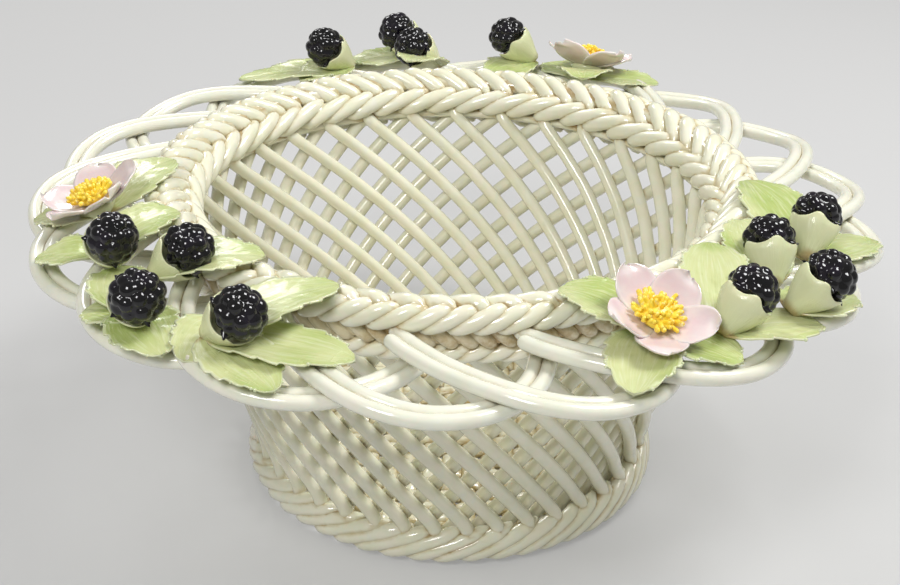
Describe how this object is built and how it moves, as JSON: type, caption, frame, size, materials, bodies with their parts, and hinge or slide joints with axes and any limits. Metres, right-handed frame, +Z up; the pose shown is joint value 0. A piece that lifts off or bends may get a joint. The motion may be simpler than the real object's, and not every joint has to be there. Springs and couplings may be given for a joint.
{
  "type": "reticulated basket",
  "caption": "Round openwork porcelain basket: crossed rods on a woven floor, plaited foot and rim, a border of double loops, and sprays of brambles, leaves and flowers.",
  "frame": {"origin": "middle of the foot ring, on the surface the basket stands on", "axes": "+Z up along the basket's axis; -Y towards the side seen nearest in the picture, +X to the right of it"},
  "size_m": [0.1994, 0.2007, 0.0882],
  "materials": {
    "cream_porcelain": "cream pearly glaze, glossy, tan in the hollows",
    "pale_porcelain": "cool off-white glaze, glossy",
    "leaf_green": "painted pale green with darker veins, glossy",
    "berry_black": "painted black, very glossy",
    "petal_pink": "painted pale lilac-pink, glossy",
    "stamen_yellow": "painted yellow, satin"
  },
  "bodies": {
    "root": {"woven_floor": "cream_porcelain", "inner_rods_back": "cream_porcelain", "inner_rods_front": "cream_porcelain", "outer_rods": "cream_porcelain", "foot_plait": "cream_porcelain", "rim_inner_row": "cream_porcelain", "rim_middle_row": "cream_porcelain", "rim_outer_row": "cream_porcelain", "rim_under_row": "cream_porcelain", "loop_01": "pale_porcelain", "loop_02": "pale_porcelain", "loop_03": "pale_porcelain", "loop_04": "pale_porcelain", "loop_05": "pale_porcelain", "loop_06": "pale_porcelain", "loop_07": "pale_porcelain", "loop_08": "pale_porcelain", "loop_09": "pale_porcelain", "loop_10": "pale_porcelain", "loop_11": "pale_porcelain", "loop_12": "pale_porcelain", "loop_13": "pale_porcelain", "loop_14": "pale_porcelain", "loop_15": "pale_porcelain", "loop_16": "pale_porcelain", "loop_17": "pale_porcelain", "loop_18": "pale_porcelain", "left_flower": "petal_pink", "left_stamens": "stamen_yellow", "left_flower_leaves": "leaf_green", "left_bramble_1": "berry_black", "left_cup_and_leaves_1": "leaf_green", "left_bramble_2": "berry_black", "left_cup_and_leaves_2": "leaf_green", "left_bramble_3": "berry_black", "left_cup_and_leaves_3": "leaf_green", "left_bramble_4": "berry_black", "left_cup_and_leaves_4": "leaf_green", "right_flower": "petal_pink", "right_stamens": "stamen_yellow", "right_flower_leaves": "leaf_green", "right_bramble_1": "berry_black", "right_cup_and_leaves_1": "leaf_green", "right_bramble_2": "berry_black", "right_cup_and_leaves_2": "leaf_green", "right_bramble_3": "berry_black", "right_cup_and_leaves_3": "leaf_green", "right_bramble_4": "berry_black", "right_cup_and_leaves_4": "leaf_green", "back_flower": "petal_pink", "back_stamens": "stamen_yellow", "back_flower_leaves": "leaf_green", "back_bramble_1": "berry_black", "back_cup_and_leaves_1": "leaf_green", "back_bramble_2": "berry_black", "back_cup_and_leaves_2": "leaf_green", "back_bramble_3": "berry_black", "back_cup_and_leaves_3": "leaf_green", "back_bramble_4": "berry_black", "back_cup_and_leaves_4": "leaf_green"}
  },
  "joints": []
}
